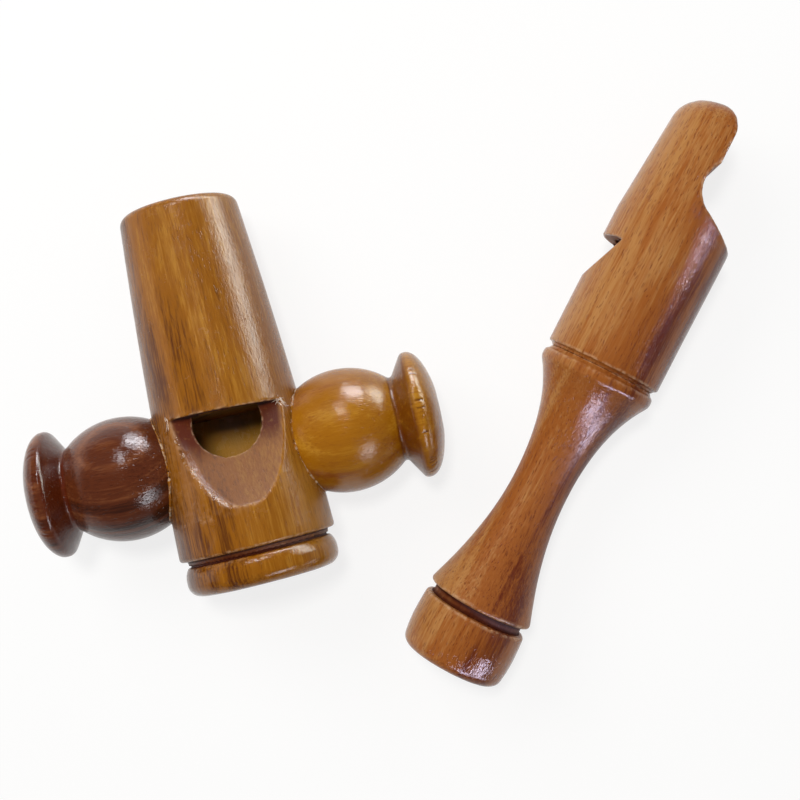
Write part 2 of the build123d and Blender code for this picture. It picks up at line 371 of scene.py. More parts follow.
def joined_tubes(name, tubes):
    """One mesh of several tubes."""
    points, faces = [], []
    for some_points, some_faces in tubes:
        start = len(points)
        points += [tuple(point) for point in some_points]
        faces += [tuple(start + index for index in face) for face in some_faces]
    mesh = bpy.data.meshes.new(name)
    mesh.from_pydata(points, [], faces)
    mesh.update()
    return mesh


def solid_tree(node):
    """Search tree of a solid's surface."""
    mesh = frame["nodes"][node].data
    mesh.calc_loop_triangles()
    return BVHTree.FromPolygons(
        [vertex.co for vertex in mesh.vertices], [tuple(tri.vertices) for tri in mesh.loop_triangles]
    )


# Node helpers


def fill(tree, socket, value):
    """Links a socket to another one, or sets its value."""
    if isinstance(value, bpy.types.NodeSocket):
        tree.links.new(value, socket)
    else:
        socket.default_value = value


def put(tree, kind, sockets=None, **choices):
    """Adds a node, sets its choices, and fills its sockets with values or links."""
    made = tree.nodes.new("ShaderNode" + kind)
    for name, value in choices.items():
        setattr(made, name, value)
    for name, value in (sockets or {}).items():
        fill(tree, made.inputs[name], value)
    return made


def calc(tree, operation, first, second=0.0, third=0.0):
    return put(tree, "Math", {0: first, 1: second, 2: third}, operation=operation).outputs[0]


def stretch(tree, vector, factors):
    return put(tree, "VectorMath", {0: vector, 1: factors}, operation="MULTIPLY").outputs[0]


def with_grain(tree, vector, share):
    """Place whose pattern is drawn out along the grain as the share gets smaller."""
    return stretch(tree, vector, (1, 1, share))


def distance(tree, vector):
    return put(tree, "VectorMath", {0: vector}, operation="LENGTH").outputs["Value"]


def difference(tree, first, second):
    return put(tree, "VectorMath", {0: first, 1: second}, operation="SUBTRACT").outputs[0]


def noise(tree, vector, scale, detail=2.0, rough=0.5):
    sockets = {"Vector": vector, "Scale": scale, "Detail": detail, "Roughness": rough}
    return put(tree, "TexNoise", sockets).outputs["Fac"]


def between(tree, value, low, high):
    """0 below low, 1 above high, smooth in between."""
    sockets = {"Value": value, "From Min": low, "From Max": high}
    return put(tree, "MapRange", sockets, interpolation_type="SMOOTHSTEP").outputs[0]


def blend(tree, share, first, second):
    """Mix of two colours, by the numbers of the node's colour sockets."""
    mixed = put(tree, "Mix", data_type="RGBA")
    for index, value in ((0, share), (6, first), (7, second)):
        fill(tree, mixed.inputs[index], value)
    return mixed.outputs[2]


def node_group(name, inputs, outputs):
    """Empty shader node group with named sockets."""
    tree = bpy.data.node_groups.new(name, "ShaderNodeTree")
    for label, default in inputs.items():
        kind = "NodeSocketVector" if isinstance(default, tuple) else "NodeSocketFloat"
        tree.interface.new_socket(label, in_out="INPUT", socket_type=kind).default_value = default
    for label in outputs:
        tree.interface.new_socket(label, in_out="OUTPUT", socket_type="NodeSocketFloat")
    given = tree.nodes.new("NodeGroupInput").outputs
    wanted = tree.nodes.new("NodeGroupOutput").inputs
    return tree, given, wanted


# Shared effects


def growth_figure():
    """Bands and thin dark lines of the growth rings around a pith, and a slow drift of tone."""
    tree, given, wanted = node_group(
        "Growth figure",
        {
            "Place": (0.0, 0.0, 0.0),
            "Pith": (40.0, 20.0, 0.0),
            "Ring Pitch": 2.5,
            "Wander": 2.0,
            "Lean": (0.0, 0.0, 0.0),
        },
        ["Bands", "Lines", "Drift"],
    )
    place = given["Place"]
    slow = noise(tree, with_grain(tree, place, 0.3), scale=0.045, detail=1.0)
    radius = distance(tree, with_grain(tree, difference(tree, place, given["Pith"]), 0))
    moved = calc(tree, "MULTIPLY_ADD", slow, given["Wander"], radius)
    ring = calc(tree, "DIVIDE", moved, given["Ring Pitch"])
    bands = put(tree, "TexNoise", {"W": ring, "Scale": 1.0, "Detail": 3.0}, noise_dimensions="1D")
    tree.links.new(bands.outputs["Fac"], wanted["Bands"])
    hair = noise(tree, with_grain(tree, place, 0.02), scale=2.6, detail=1.0)
    fade = noise(tree, with_grain(tree, place, 0.25), scale=0.12, detail=1.0)
    line = calc(tree, "MULTIPLY", between(tree, hair, 0.62, 0.72), between(tree, fade, 0.42, 0.62))
    tree.links.new(line, wanted["Lines"])
    # Lean adds a straight change of tone across the piece: painted light and shade on the arm call's body
    # and arms; on the slide call it darkens towards its own +Y and towards the foot
    middle = difference(tree, place, (0, 0, 60))
    lean = put(tree, "VectorMath", {0: middle, 1: given["Lean"]}, operation="DOT_PRODUCT").outputs["Value"]
    lean = put(tree, "Clamp", {"Value": lean, "Min": -0.22, "Max": 0.22}).outputs[0]
    drift = noise(tree, with_grain(tree, place, 0.3), scale=0.09, detail=3.0)
    tree.links.new(calc(tree, "ADD", drift, lean), wanted["Drift"])
    return tree


def fibre_and_pores():
    """Fine lengthwise fibre, and short dark pores that run with it."""
    tree, given, wanted = node_group(
        "Fibre and pores",
        {"Place": (0.0, 0.0, 0.0), "Pore Pitch": 0.6, "Pore Length": 2.4, "Pore Share": 0.5},
        ["Fibre", "Pores"],
    )
    place = given["Place"]
    fibre = noise(tree, with_grain(tree, place, 0.05), scale=2.4, detail=4.0, rough=0.62)
    bend = put(tree, "TexNoise", {"Vector": place, "Scale": 0.3, "Detail": 1.0}).outputs["Color"]
    wavy = put(tree, "VectorMath", {0: bend, 1: (1.2, 1.2, 0.0), 2: place}, operation="MULTIPLY_ADD")
    pitch = calc(tree, "DIVIDE", 1.0, given["Pore Pitch"])
    length = calc(tree, "DIVIDE", 1.0, given["Pore Length"])
    cells = put(tree, "CombineXYZ", {"X": pitch, "Y": pitch, "Z": length}).outputs[0]
    scaled = stretch(tree, wavy.outputs[0], cells)
    spots = put(tree, "TexVoronoi", {"Vector": scaled, "Scale": 1.0})
    off = difference(tree, scaled, spots.outputs["Position"])
    reach = distance(tree, stretch(tree, off, (3.5, 3.5, 2.1)))
    near = calc(tree, "SUBTRACT", 1.0, between(tree, reach, 0.55, 1.0))
    chances = put(tree, "SeparateColor", {"Color": spots.outputs["Color"]}).outputs
    there = calc(tree, "LESS_THAN", chances["Red"], given["Pore Share"])
    strength = calc(tree, "MULTIPLY_ADD", chances["Green"], 0.55, 0.45)
    pores = calc(tree, "MULTIPLY", calc(tree, "MULTIPLY", near, there), strength)
    tree.links.new(fibre, wanted["Fibre"])
    tree.links.new(pores, wanted["Pores"])
    return tree


def varnish_film():
    """Ripples, thin spots and specks of a hand-brushed varnish."""
    tree, given, wanted = node_group(
        "Varnish film", {"Place": (0.0, 0.0, 0.0)}, ["Ripple", "Thin", "Specks"]
    )
    place = given["Place"]
    ripple = noise(tree, with_grain(tree, place, 0.6), scale=0.55)
    thin = noise(tree, place, scale=0.22, detail=4.0, rough=0.65)
    specks = noise(tree, with_grain(tree, place, 0.35), scale=2.6, detail=3.0, rough=0.6)
    tree.links.new(ripple, wanted["Ripple"])
    tree.links.new(between(tree, thin, 0.35, 0.75), wanted["Thin"])
    tree.links.new(specks, wanted["Specks"])
    return tree


def stored(tree, name):
    """Number that write_share stored in a mesh."""
    return put(tree, "Attribute", attribute_name=name).outputs["Fac"]


def handled_edges():
    """Dark varnish and painted shade in creases, worn edges and a painted highlight, sawn faces, and
    painted shade in deep corners, from the numbers stored in a mesh.
    """
    tree, given, wanted = node_group(
        "Handled edges",
        {"Place": (0.0, 0.0, 0.0)},
        ["Grime", "Rub", "Sawn", "Deep", "Raw", "Matte", "Wet"],
    )
    for output in ("Sawn", "Raw", "Matte", "Wet"):
        tree.links.new(stored(tree, output.lower()), wanted[output])
    patchy = noise(tree, given["Place"], scale=0.9, detail=3.0)
    hollow = stored(tree, "hollow")
    # Creases and grooves: dark varnish and painted shade
    tree.links.new(between(tree, hollow, 0.12, 0.7), wanted["Grime"])
    # Worn outer edges, and the rim: a painted highlight along the ramp's edges
    rubbed_and_highlit = calc(tree, "MAXIMUM", between(tree, hollow, -0.35, -0.95), stored(tree, "rim"))
    tree.links.new(calc(tree, "MULTIPLY", rubbed_and_highlit, between(tree, patchy, 0.35, 0.65)), wanted["Rub"])
    # Deep corners and broad hollows: painted shade, with pooled varnish
    dip = calc(tree, "MULTIPLY", between(tree, stored(tree, "dip"), 0.04, 0.45), 0.8)
    gathered = calc(tree, "MAXIMUM", stored(tree, "deep"), dip)
    tree.links.new(calc(tree, "MULTIPLY", gathered, between(tree, patchy, 0.1, 0.45)), wanted["Deep"])
    return tree


def use_group(tree, name, maker, sockets):
    """Adds a shared node group, which is made the first time that it is asked for."""
    group = bpy.data.node_groups.get(name) or maker()
    return put(tree, "Group", sockets, node_tree=group).outputs


# Materials


class Timber(NamedTuple):
    """How one piece of wood looks."""

    tone: str  # which of the colour settings
    matrix: Matrix  # frame whose +Z runs along the grain
    pith: tuple  # middle of the growth rings, in millimetres
    ring: float  # width of a growth ring
    wander: float  # how far the rings wander
    lean: tuple  # change of tone for each millimetre
    weights: tuple  # contrast of the bands, the drift and the fibre
    lines: float  # strength of the dark growth lines
    pores: tuple  # pitch, length and share of the pores
    pore_dark: float  # strength of the pores


class Gloss(NamedTuple):
    """How one varnish shines."""

    roughness: float
    specular: float
    sawn: float  # added roughness of the sawn faces
    deep: float  # added roughness of the deep corners
    relief: float  # strength of the bump


HONEY_WOOD = Timber(
    tone="honey",
    matrix=ARM_CALL,
    pith=(130.0, 30.0, 0.0),
    ring=2.0,
    wander=1.6,
    # painted sheen: the body gets lighter towards the right arm
    lean=(0.012, 0.0, 0.0),
    weights=(0.5, 1.2, 1.4),
    lines=0.4,
    pores=(0.45, 2.8, 0.4),
    pore_dark=0.4,
)
DARK_WOOD = Timber(
    tone="dark",
    matrix=LEFT_ARM,
    pith=(70.0, 56.0, 0.0),
    ring=2.6,
    wander=5.0,
    # painted light: the left arm gets lighter towards the scene's +Y side, as if lit from there
    lean=(0.0, 0.012, 0.0),
    weights=(1.3, 1.2, 0.8),
    lines=0.5,
    pores=(0.5, 2.0, 0.35),
    pore_dark=0.35,
)
GOLDEN_WOOD = Timber(
    tone="golden",
    matrix=RIGHT_ARM,
    pith=(64.0, -52.0, 0.0),
    ring=3.2,
    wander=7.0,
    # painted light: the right arm gets slightly lighter towards the scene's +Y side, as if lit from there
    lean=(0.0, -0.004, 0.0),
    weights=(0.8, 1.8, 0.9),
    lines=0.5,
    pores=(0.5, 2.2, 0.35),
    pore_dark=0.35,
)
RED_WOOD = Timber(
    tone="red",
    matrix=SLIDE_CALL,
    pith=(20.0, 110.0, 0.0),
    ring=2.4,
    wander=2.0,
    lean=(0.0, -0.032, 0.0015),
    weights=(0.7, 1.2, 1.0),
    lines=0.3,
    pores=(0.42, 2.2, 0.95),
    pore_dark=0.7,
)
BARE_WOOD = Timber(
    tone="honey",
    matrix=ARM_CALL,
    pith=(18.0, 9.0, 0.0),
    ring=2.2,
    wander=2.5,
    lean=(0.0, 0.0, 0.0),
    weights=(1.2, 0.6, 0.8),
    lines=0.5,
    pores=(0.5, 2.5, 0.4),
    pore_dark=0.35,
)
HONEY_GLOSS = Gloss(roughness=0.2, specular=0.45, sawn=0.3, deep=0.3, relief=0.9)
DARK_GLOSS = Gloss(roughness=0.08, specular=0.5, sawn=0.0, deep=0.0, relief=0.9)
GOLDEN_GLOSS = Gloss(roughness=0.13, specular=0.45, sawn=0.0, deep=0.0, relief=0.9)
RED_GLOSS = Gloss(roughness=0.06, specular=0.27, sawn=0.4, deep=0.35, relief=1.1)
BARE_GLOSS = Gloss(roughness=0.6, specular=0.3, sawn=0.0, deep=0.0, relief=0.8)
RELIEF_DEPTH = 0.045  # millimetres


def own_place(tree, matrix):
    """Surface place in a call's own frame, in millimetres, with the grain along Z."""
    spot = put(tree, "TexCoord").outputs["Object"]
    sockets = {
        "Vector": spot,
        "Location": matrix.translation,
        "Rotation": matrix.to_euler("XYZ"),
        "Scale": (MM, MM, MM),
    }
    return put(tree, "Mapping", sockets, vector_type="TEXTURE").outputs[0]


def empty_material(name):
    """Material with a shader and nothing else."""
    material = bpy.data.materials.new(name)
    material.use_nodes = True
    tree = material.node_tree
    tree.nodes.clear()
    shader = put(tree, "BsdfPrincipled")
    output = put(tree, "OutputMaterial")
    tree.links.new(shader.outputs[0], output.inputs["Surface"])
    return material, tree, shader


def opaque(rgb):
    return (*rgb, 1.0)


def raise_surface(tree, shader, height, strength, depth):
    """Bump on a shader, its depth in millimetres."""
    bump = put(tree, "Bump", {"Height": height, "Strength": strength, "Distance": depth * MM})
    tree.links.new(bump.outputs[0], shader.inputs["Normal"])


def weighted(tree, parts):
    """0.5 plus each share's distance from 0.5, times its weight."""
    total = 0.5
    for share, weight in parts:
        total = calc(tree, "MULTIPLY_ADD", calc(tree, "SUBTRACT", share, 0.5), weight, total)
    return total


def summed(tree, start, parts):
    """Start plus each share times its factor."""
    for share, factor in parts:
        start = calc(tree, "MULTIPLY_ADD", share, factor, start)
    return start


def wood_material(name, timber, gloss):
    """Varnished or bare wood of one tone, with figure, fibre, pores and handling."""
    colours = settings("call_colours")
    shades = [getattr(colours, f"{timber.tone}_{shade}") for shade in ("light", "mid", "dark")]
    light, mid, dark = (opaque(shade) for shade in shades)
    material, tree, shader = empty_material(name)
    place = own_place(tree, timber.matrix)
    rings = {
        "Place": place,
        "Pith": timber.pith,
        "Ring Pitch": timber.ring,
        "Wander": timber.wander,
        "Lean": timber.lean,
    }
    figure = use_group(tree, "Growth figure", growth_figure, rings)
    pitch, length, share = timber.pores
    dashes = {"Place": place, "Pore Pitch": pitch, "Pore Length": length, "Pore Share": share}
    grain = use_group(tree, "Fibre and pores", fibre_and_pores, dashes)
    film = use_group(tree, "Varnish film", varnish_film, {"Place": place})
    edges = use_group(tree, "Handled edges", handled_edges, {"Place": place})
    shares = (figure["Bands"], figure["Drift"], grain["Fibre"])
    tone = weighted(tree, zip(shares, timber.weights))
    wood = blend(tree, between(tree, tone, 0.0, 0.5), dark, mid)
    wood = blend(tree, between(tree, tone, 0.5, 1.0), wood, light)
    for share, cover, coat in (
        (figure["Lines"], timber.lines, dark),
        (grain["Pores"], timber.pore_dark, dark),
        (edges["Sawn"], 0.4, opaque(colours.sawn)),
        # bare inside, painted paler as light through the window
        (edges["Raw"], 0.75, opaque(colours.raw)),
        # painted shade in deep corners and hollows, with pooled varnish
        (edges["Deep"], 0.95, opaque(colours.shade)),
        # dark varnish and painted shade in creases and grooves
        (edges["Grime"], 0.85, opaque(colours.grime_and_shade)),
        # worn edges, and a painted highlight along the ramp's edges
        (edges["Rub"], 0.6, opaque(colours.rubbed_and_highlit)),
    ):
        wood = blend(tree, calc(tree, "MULTIPLY", share, cover), wood, coat)
    tree.links.new(wood, shader.inputs["Base Color"])
    changes = (
        (film["Thin"], 0.09),
        (edges["Sawn"], gloss.sawn),
        (edges["Deep"], gloss.deep),
        (edges["Matte"], 0.25),
        (edges["Wet"], -0.4),
        (edges["Grime"], 0.25),
    )
    tree.links.new(summed(tree, gloss.roughness, changes), shader.inputs["Roughness"])
    heights = (
        (grain["Fibre"], 0.8),
        (grain["Pores"], -1.0),
        (film["Ripple"], 1.6),
        (film["Specks"], 1.5),
    )
    raise_surface(tree, shader, summed(tree, 0.0, heights), gloss.relief, RELIEF_DEPTH)
    shader.inputs["Specular IOR Level"].default_value = gloss.specular
    return material


def pale_material(name, tone, stained):
    """Dried glue or pale torn wood, with honey-coloured patches."""
    colours = settings("call_colours")
    material, tree, shader = empty_material(name)
    place = own_place(tree, ARM_CALL)
    patchy = between(tree, noise(tree, place, scale=0.8, detail=3.0, rough=0.6), stained, stained + 0.3)
    mottled = blend(tree, patchy, opaque(colours.honey_mid), opaque(getattr(colours, tone)))
    tree.links.new(mottled, shader.inputs["Base Color"])
    tree.links.new(calc(tree, "MULTIPLY_ADD", patchy, 0.2, 0.25), shader.inputs["Roughness"])
    raise_surface(tree, shader, noise(tree, place, scale=3.0, detail=3.0), strength=0.5, depth=0.05)
    return material


def cork_material():
    """Pressed cork granules."""
    colours = settings("call_colours")
    material, tree, shader = empty_material("cork_granules")
    place = own_place(tree, SLIDE_CALL)
    grains = put(tree, "TexVoronoi", {"Vector": place, "Scale": 0.9})
    chance = put(tree, "SeparateColor", {"Color": grains.outputs["Color"]}).outputs["Red"]
    mottle = noise(tree, place, scale=3.0, detail=3.0)
    shade = calc(tree, "MULTIPLY_ADD", mottle, 0.5, calc(tree, "MULTIPLY", chance, 0.5))
    cork = blend(tree, shade, opaque(colours.cork_dark), opaque(colours.cork_light))
    tree.links.new(cork, shader.inputs["Base Color"])
    tree.links.new(calc(tree, "MULTIPLY_ADD", chance, 0.15, 0.75), shader.inputs["Roughness"])
    raise_surface(tree, shader, grains.outputs["Distance"], strength=0.6, depth=0.15)
    return material


# Operators, one for each piece or group of like pieces


class CALLS_OT_arm_body(bpy.types.Operator):
    """Make the arm call's worn body"""

    bl_idname = "calls.arm_body"
    bl_label = "Arm call body"

    def execute(self, context):
        mesh = worn_mesh("arm_call_body", "arm_call_body_worn", softness=3, pitch_share=0.85)
        own = in_frame(read_points(mesh), ARM_CALL)
        self.round_foot(own)
        write_points(mesh, from_frame(own, ARM_CALL))
        self.mark_window(mesh, own)
        near_window = (own[:, 1] < -4) & (own[:, 2] > WINDOW_LOW) & (own[:, 2] < WINDOW_HIGH + 0.5)
        wear(mesh, ARM_CALL, 11, 0.15 + 0.85 * near_window)
        material = wood_material("honey_wood_varnished", HONEY_WOOD, HONEY_GLOSS)
        piece = finished(linked("arm_call_body_worn", mesh), "calls", material)
        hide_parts("arm_call_body")
        return {"FINISHED"}

    def round_foot(self, own):
        """Rounds the upper edge of the foot."""
        radius, height = girth(own), own[:, 2]
        worn = ramp(height, FOOT_TOP - 2.8, FOOT_TOP) ** 2 * (height < FOOT_TOP + 0.5)
        worn *= ramp(radius, FOOT_RADIUS - 2, FOOT_RADIUS - 0.5)
        own[:, :2] *= (1 - FOOT_WEAR * worn / np.maximum(radius, 1))[:, None]

    def mark_window(self, mesh, own):
        """Stores the window's sawn faces, its deep corners and the foot's groove as painted shade, its
        worn edge with a painted highlight, its glossy spots, and the bare inside, painted paler as light
        through the window.
        """
        depth = depth_below(own, own[:, 1] > 3)
        radius, across, height = girth(own), own[:, 0], own[:, 2]
        front = (own[:, 1] < -3) & (height > WINDOW_LOW) & (height < WINDOW_HIGH)
        front &= radius > CHAMBER_RADIUS - 0.9
        write_share(mesh, "sawn", ramp(depth, 0.15, 0.4) * front)
        # Painted shade, with pooled varnish: the window's flanks darken towards the saw cut, and the
        # foot's groove darkens
        near_saw_cut = ramp(height, 27, 31.5)
        corners = ramp(depth, 0.2, 0.9) * near_saw_cut * front
        groove = ramp(radius, GROOVE_RADIUS + 0.4, GROOVE_RADIUS - 0.1) * (radius > OUTER_RADIUS)
        groove *= (height > FOOT_TOP - 0.4) & (height < GROOVE_TOP + 1.2)
        write_share(mesh, "deep", np.maximum(corners, groove))
        # Painted highlight: a light line along the ramp's edges, strongest on its left
        rim = ramp(depth, 0.0, 0.1) * ramp(depth, np.where(across < 0, 0.55, 0.3), 0.15) * front
        rim *= 0.15 + 0.85 * ramp(across, 5, 1)
        write_share(mesh, "rim", neighbour_means(mesh, rim[:, None], 2)[:, 0])
        inner, outer = 0.1 + 0.12 * np.abs(across), 0.25 + 0.2 * np.abs(across)
        strip = ramp(depth, 0.08, 0.25) * ramp(depth, outer, inner)
        below_saw_cut = ramp(height, 33.5, 31)
        strip *= front * (across < -1) * below_saw_cut
        foot = 0.4 * (height < FOOT_TOP + 0.4) * (radius > OUTER_RADIUS)
        write_share(mesh, "wet", np.maximum(strip, foot))
        # Bare inside of the chamber, painted paler to stand in for light through the window
        inside = ramp(radius, CHAMBER_RADIUS + 0.4, CHAMBER_RADIUS + 0.1)
        write_share(mesh, "raw", inside * (height < WINDOW_HIGH - 1))


class CALLS_OT_arms(bpy.types.Operator):
    """Make the two worn side arms"""

    bl_idname = "calls.arms"
    bl_label = "Side arms"

    def execute(self, context):
        for seed, node, timber, slot, gloss in (
            (31, "left_arm", DARK_WOOD, "dark_wood", DARK_GLOSS),
            (41, "right_arm", GOLDEN_WOOD, "golden_wood", GOLDEN_GLOSS),
        ):
            mesh = worn_mesh(node, node + "_worn", softness=4, pitch_share=0.75)
            self.mark_flange(mesh, timber.matrix, seed)
            wear(mesh, timber.matrix, seed, chipped=0.2, grime_and_shade=0.4)
            material = wood_material(slot + "_varnished", timber, gloss)
            piece = finished(linked(node + "_worn", mesh), "calls", material)
            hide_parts(node)
        return {"FINISHED"}

    def mark_flange(self, mesh, place, seed):
        """Stores painted shade on the side of the flange that looks at the neck, and cuts short checks
        into its rim.
        """
        points, normals = read_points(mesh), read_points(mesh, "normal")
        own = in_frame(points, place)
        facing = normals @ np.array(place)[:3, 2]
        flange = own[:, 2] > self.neck(own) - 0.3
        radius = girth(own) * flange
        rim = own[np.argmax(radius), 2]
        angle = np.arctan2(own[:, 1], own[:, 0])
        draw = np.random.default_rng(seed + 5)
        checks = np.zeros(len(own))
        for _ in range(CHECKS):
            turn = draw.uniform(-math.pi, math.pi)
            low, high = rim + draw.uniform(-0.2, 0.6), rim + draw.uniform(1.2, 2.2)
            crack = np.exp(-(((angle - turn) * radius / CHECK_WIDTH) ** 2))
            checks = np.maximum(checks, crack * ((own[:, 2] > low) & (own[:, 2] < high)) * flange)
        write_points(mesh, points - normals * (CHECK_DEPTH * MM * checks)[:, None])
        # Painted shade on the flange's side that faces the ball; the checks are dark cracks
        write_share(mesh, "deep", np.maximum(0.75 * ramp(facing, 0.1, -0.55) * flange, 0.9 * checks))

    def neck(self, own):
        """Place along an arm where it is thinnest, between the ball and the flange."""
        outer = own[:, 2].max()
        levels = np.arange(outer - 11, outer - 3, 0.5)
        widths = [girth(own[np.abs(own[:, 2] - level) < 0.3]).max() for level in levels]
        return levels[np.argmin(widths)]


class CALLS_OT_joint_glue(bpy.types.Operator):
    """Make the thin lines of dried glue where the arms meet the body"""

    bl_idname = "calls.joint_glue"
    bl_label = "Glue lines"

    def execute(self, context):
        body = solid_tree("arm_call_body")
        material = pale_material("dried_glue", "glue", stained=0.42)
        for seed, node, place in ((71, "left_arm", LEFT_ARM), (73, "right_arm", RIGHT_ARM)):
            path = self.joint(solid_tree(node), body, place)
            spots = np.array(path[:-1]) / MM
            swell = 0.55 + 0.6 * waves(spots, 7, seed) + 0.35 * waves(spots, 2.4, seed + 1)
            radii = settings("call_wear").bead_radius * np.clip(swell, 0.12, 1.2)
            mesh = joined_tubes(node + "_glue", [tube(path, radii)])
            finished(linked(node + "_glue", mesh), "calls", material)
        return {"FINISHED"}

    def joint(self, arm, body, place):
        """Closed line on an arm's ball where it comes closest to the body."""
        turn = place.to_3x3()
        steps = 144
        path = []
        for k in range(steps):
            angle = 2 * math.pi * k / steps
            out = turn @ Vector((math.cos(angle), math.sin(angle), 0))
            path.append(self.meeting(arm, body, place.translation, turn.col[2], out))
        return [np.array(spot) for spot in [*path, path[0]]]

    def meeting(self, arm, body, middle, axis, out):
        """First spot towards the body where the ball's skin lies next to it."""
        first = 2.0
        pitch = 0.1
        steps = 140
        outside = 30
        touching = 0.22 * MM
        spot = None
        for step in range(steps):
            start = middle - axis * (first + pitch * step) * MM + out * outside * MM
            hit = arm.ray_cast(start, -out)[0]
            if hit is None:
                break
            spot = hit
            if body.find_nearest(hit)[3] < touching:
                return spot
        if spot is None:
            raise RuntimeError("no joint found")
        return spot


class CALLS_OT_torn_fibres(bpy.types.Operator):
    """Make the torn wood fibres at the window's upper corners, and pale fibres along the ramp's left edge
    as a painted highlight
    """

    bl_idname = "calls.torn_fibres"
    bl_label = "Torn fibres"

    def execute(self, context):
        draw = np.random.default_rng(83)
        body = solid_tree("arm_call_body")
        long_fibre = settings("call_wear").fibre_length
        tubes = []
        for corner, count in TORN_CORNERS:
            for _ in range(count):
                spot = np.array(corner) + draw.normal(size=3) * (0.7, 0.5, 0.5)
                tubes.append(self.fibre(draw, body, spot, long_fibre, curl=1.0))
        # Pale slivers along the ramp's left edge: a painted highlight
        for spot in self.edge_spots(draw, EDGE_FIBRES):
            tubes.append(self.fibre(draw, body, spot, long_fibre * 0.2, curl=0.1))
        piece = linked("window_fibres", joined_tubes("window_fibres", tubes))
        finished(piece, "calls", pale_material("torn_fibre", "fibre", stained=0.28))
        return {"FINISHED"}

    def edge_spots(self, draw, count):
        """Seeded choice of spots along the ramp's left edge."""
        mesh = bpy.data.objects["arm_call_body_worn"].data
        rim = np.empty(len(mesh.vertices), np.float32)
        mesh.attributes["rim"].data.foreach_get("value", rim)
        own = in_frame(read_points(mesh), ARM_CALL)
        across, height = own[:, 0], own[:, 2]
        left = (across > -11.4) & (across < -1.5)
        edge = own[(rim > 0.3) & left & (height > WINDOW_LOW + 1.5) & (height < WINDOW_HIGH - 4)]
        return edge[draw.integers(0, len(edge), count)]

    def fibre(self, draw, body, spot, longest, curl):
        """Thin curled splinter that starts on the wood nearest to a spot."""
        start, normal, _, _ = body.find_nearest(ARM_CALL @ (Vector(spot) * MM))
        turn = ARM_CALL.to_3x3()
        way = turn @ Vector((draw.normal() * 0.7, draw.normal() * 0.2, -0.4 + draw.normal() * 0.8))
        length = longest * draw.uniform(0.3, 1.0)
        lift = draw.uniform(0.1, 0.45) * curl
        shares = np.linspace(0, 1, 6)
        path = [start + way.normalized() * length * t + normal * length * lift * t * t for t in shares]
        return tube([np.array(p) for p in path], draw.uniform(0.07, 0.15) * MM * (1.05 - shares), sides=5)


class CALLS_OT_slide_call(bpy.types.Operator):
    """Make the slide call's worn barrel and grip"""

    bl_idname = "calls.slide_call"
    bl_label = "Slide call"

    def execute(self, context):
        material = wood_material("red_wood_varnished", RED_WOOD, RED_GLOSS)
        for seed, node, body in ((51, "slide_call_barrel", "calls"), (61, "slide_grip", "grip")):
            mesh = worn_mesh(node, node + "_worn", softness=3)
            own = in_frame(read_points(mesh), SLIDE_CALL)
            self.mark_cuts(mesh, own)
            if node == "slide_grip":
                own[:, :2] *= (1 - FOOT_TAPER * ramp(own[:, 2], TAPER_HEIGHT, 0) ** 2)[:, None]
                write_points(mesh, from_frame(own, SLIDE_CALL))
            wear(mesh, SLIDE_CALL, seed, chipped=0.4)
            piece = finished(linked(node + "_worn", mesh), body, material)
            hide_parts(node)
        return {"FINISHED"}

    def mark_cuts(self, mesh, own):
        """Stores the sawn faces of the beak's notch and scoop, and where hands dulled the varnish."""
        height = own[:, 2]
        depth = depth_below(own, height > 0)
        write_share(mesh, "sawn", ramp(depth, 0.3, 0.8) * (height > BARREL_LOW + 0.5))
        held = ramp(height, 9, 14) * ramp(height, 60, 50)
        low = ramp(height, BARREL_LOW, BARREL_LOW + 1) * ramp(height, 96, 80)
        write_share(mesh, "matte", held + 0.25 * low)


class CALLS_OT_inner_pieces(bpy.types.Operator):
    """Finish the windway blocks, the base plug and the cork packing"""

    bl_idname = "calls.inner_pieces"
    bl_label = "Blocks, plug and packing"

    def execute(self, context):
        for node, tone, matrix in (
            ("arm_call_block", "honey", ARM_CALL),
            ("arm_call_plug", "honey", ARM_CALL),
            ("slide_call_block", "red", SLIDE_CALL),
        ):
            timber = BARE_WOOD._replace(tone=tone, matrix=matrix)
            self.cover(node, wood_material(node + "_bare", timber, BARE_GLOSS))
        self.cover("stopper_packing", cork_material())
        return {"FINISHED"}

    def cover(self, node, material):
        """Puts a material on a solid that stays as it is."""
        mesh = frame["nodes"][node].data
        mesh.materials.clear()
        mesh.materials.append(material)


# Stage


class Lamp(NamedTuple):
    """Rectangular lamp, its angles and spread in degrees as seen from the calls."""

    name: str
    azimuth: float
    elevation: float
    spread: tuple
    radiance: float
    tint: tuple


COOL = (0.92, 0.94, 1.0)
LILAC = (0.8, 0.75, 1.0)
WARM = (1.0, 0.84, 0.76)
ROOM_LAMPS = (
    Lamp("overhead", 100, 77, (9, 9), 68.0, (1.0, 0.98, 0.94)),
    Lamp("fill", 135, 42, (40, 30), 3.2, (1.0, 0.98, 0.95)),
)
ARM_CALL_PANES = (
    Lamp("wall_left", 175, 14, (50, 18), 1.2, WARM),
    Lamp("window_front", -46, 34, (20, 12), 12.0, COOL),
    Lamp("window_low", -18, -6, (16, 6), 14.0, COOL),
    Lamp("window_far", 44, -2, (46, 32), 13.5, (0.95, 1.0, 0.92)),
    Lamp("window_behind", 84, 14, (24, 16), 24.0, COOL),
    Lamp("skylight", 100, 50, (7.5, 6.5), 32.0, COOL),
)
BARREL_PANES = (Lamp("window_barrel", -10.5, 23, (6, 4.5), 140.0, LILAC),)
GRIP_PANES = (
    Lamp("window_foot", -52, 20, (14, 14), 42.0, LILAC),
    Lamp("window_collar", -82, 38, (20, 16), 37.0, LILAC),
)
LAMP_DISTANCE = 0.8
LAMP_AIM = Vector((0, 0, 0.015))
ROOM_GREY = (0.22, 0.22, 0.22, 1.0)  # light of the room on the calls
